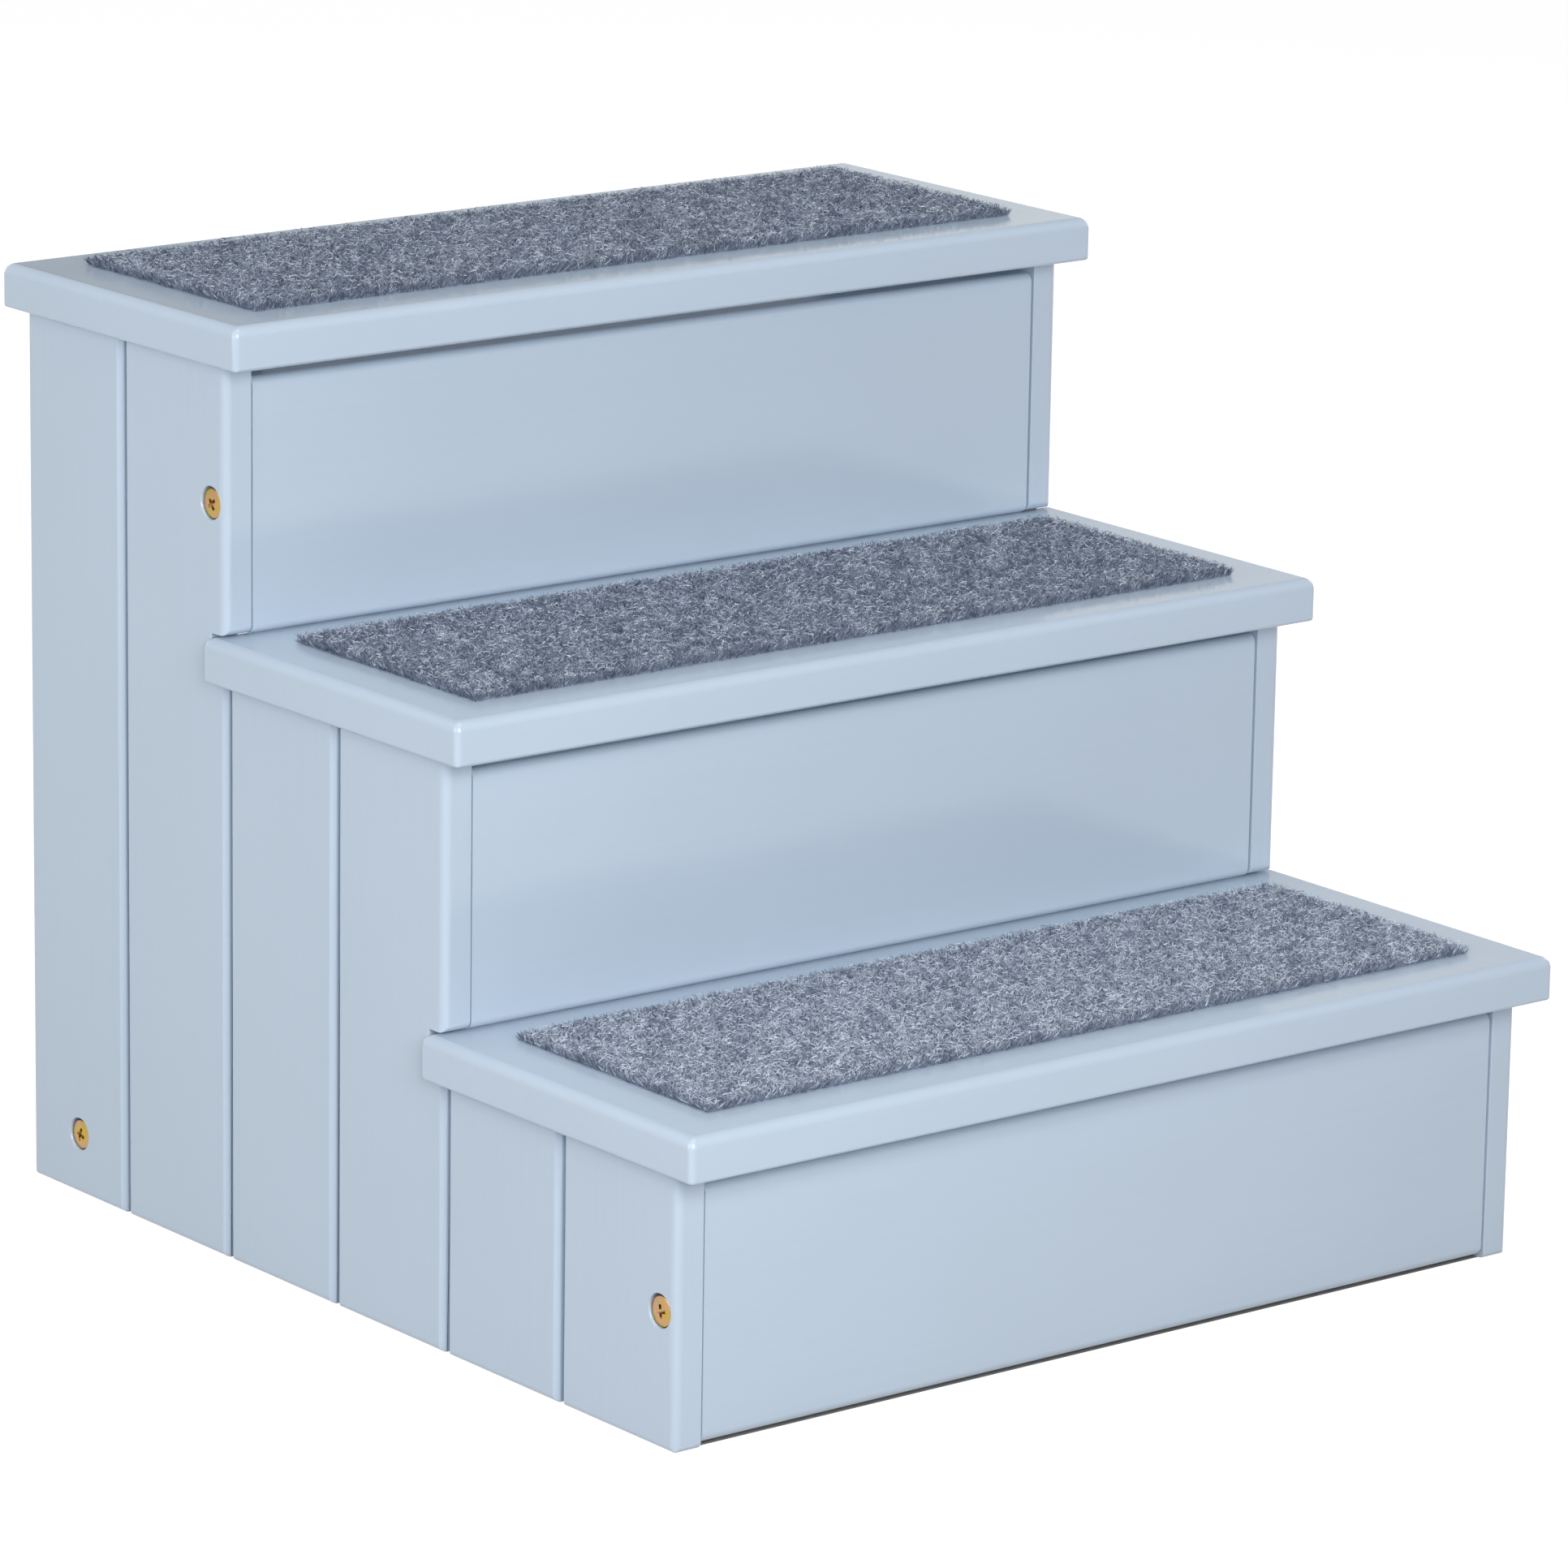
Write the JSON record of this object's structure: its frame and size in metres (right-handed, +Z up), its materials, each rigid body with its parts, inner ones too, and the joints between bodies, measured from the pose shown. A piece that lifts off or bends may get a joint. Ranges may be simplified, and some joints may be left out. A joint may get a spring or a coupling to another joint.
{
  "type": "pet stairs",
  "caption": "Free-standing painted wooden stairs with carpeted treads, up which a small dog or cat climbs to a bed or sofa.",
  "frame": {"origin": "on the floor, under the middle of the stairs' overall box", "axes": "+Z up, -Y towards the front, where the lowest step is, +X towards the right side seen from the front"},
  "size_m": [0.41, 0.4346, 0.365],
  "materials": {
    "painted_wood": "satin grey-blue paint, sprayed on all faces",
    "carpet": "heather blue-grey cut pile",
    "yellow_zinc": "yellow passivated zinc plate",
    "beech": "plain beech"
  },
  "bodies": {
    "root": {"left_board_1": "painted_wood", "left_board_2": "painted_wood", "left_board_3": "painted_wood", "left_board_4": "painted_wood", "left_board_5": "painted_wood", "left_board_6": "painted_wood", "right_board_1": "painted_wood", "right_board_2": "painted_wood", "right_board_3": "painted_wood", "right_board_4": "painted_wood", "right_board_5": "painted_wood", "right_board_6": "painted_wood", "lower_tread": "painted_wood", "middle_tread": "painted_wood", "upper_tread": "painted_wood", "lower_riser": "painted_wood", "middle_riser": "painted_wood", "upper_riser": "painted_wood", "rear_rail": "painted_wood", "left_lower_cleat": "painted_wood", "left_middle_cleat": "painted_wood", "left_upper_cleat": "painted_wood", "right_lower_cleat": "painted_wood", "right_middle_cleat": "painted_wood", "right_upper_cleat": "painted_wood", "lower_carpet": "carpet", "middle_carpet": "carpet", "upper_carpet": "carpet", "side_bolts": "yellow_zinc", "barrel_nuts": "yellow_zinc", "cleat_screws": "yellow_zinc", "tread_screws": "yellow_zinc", "dowels": "beech"}
  },
  "joints": []
}
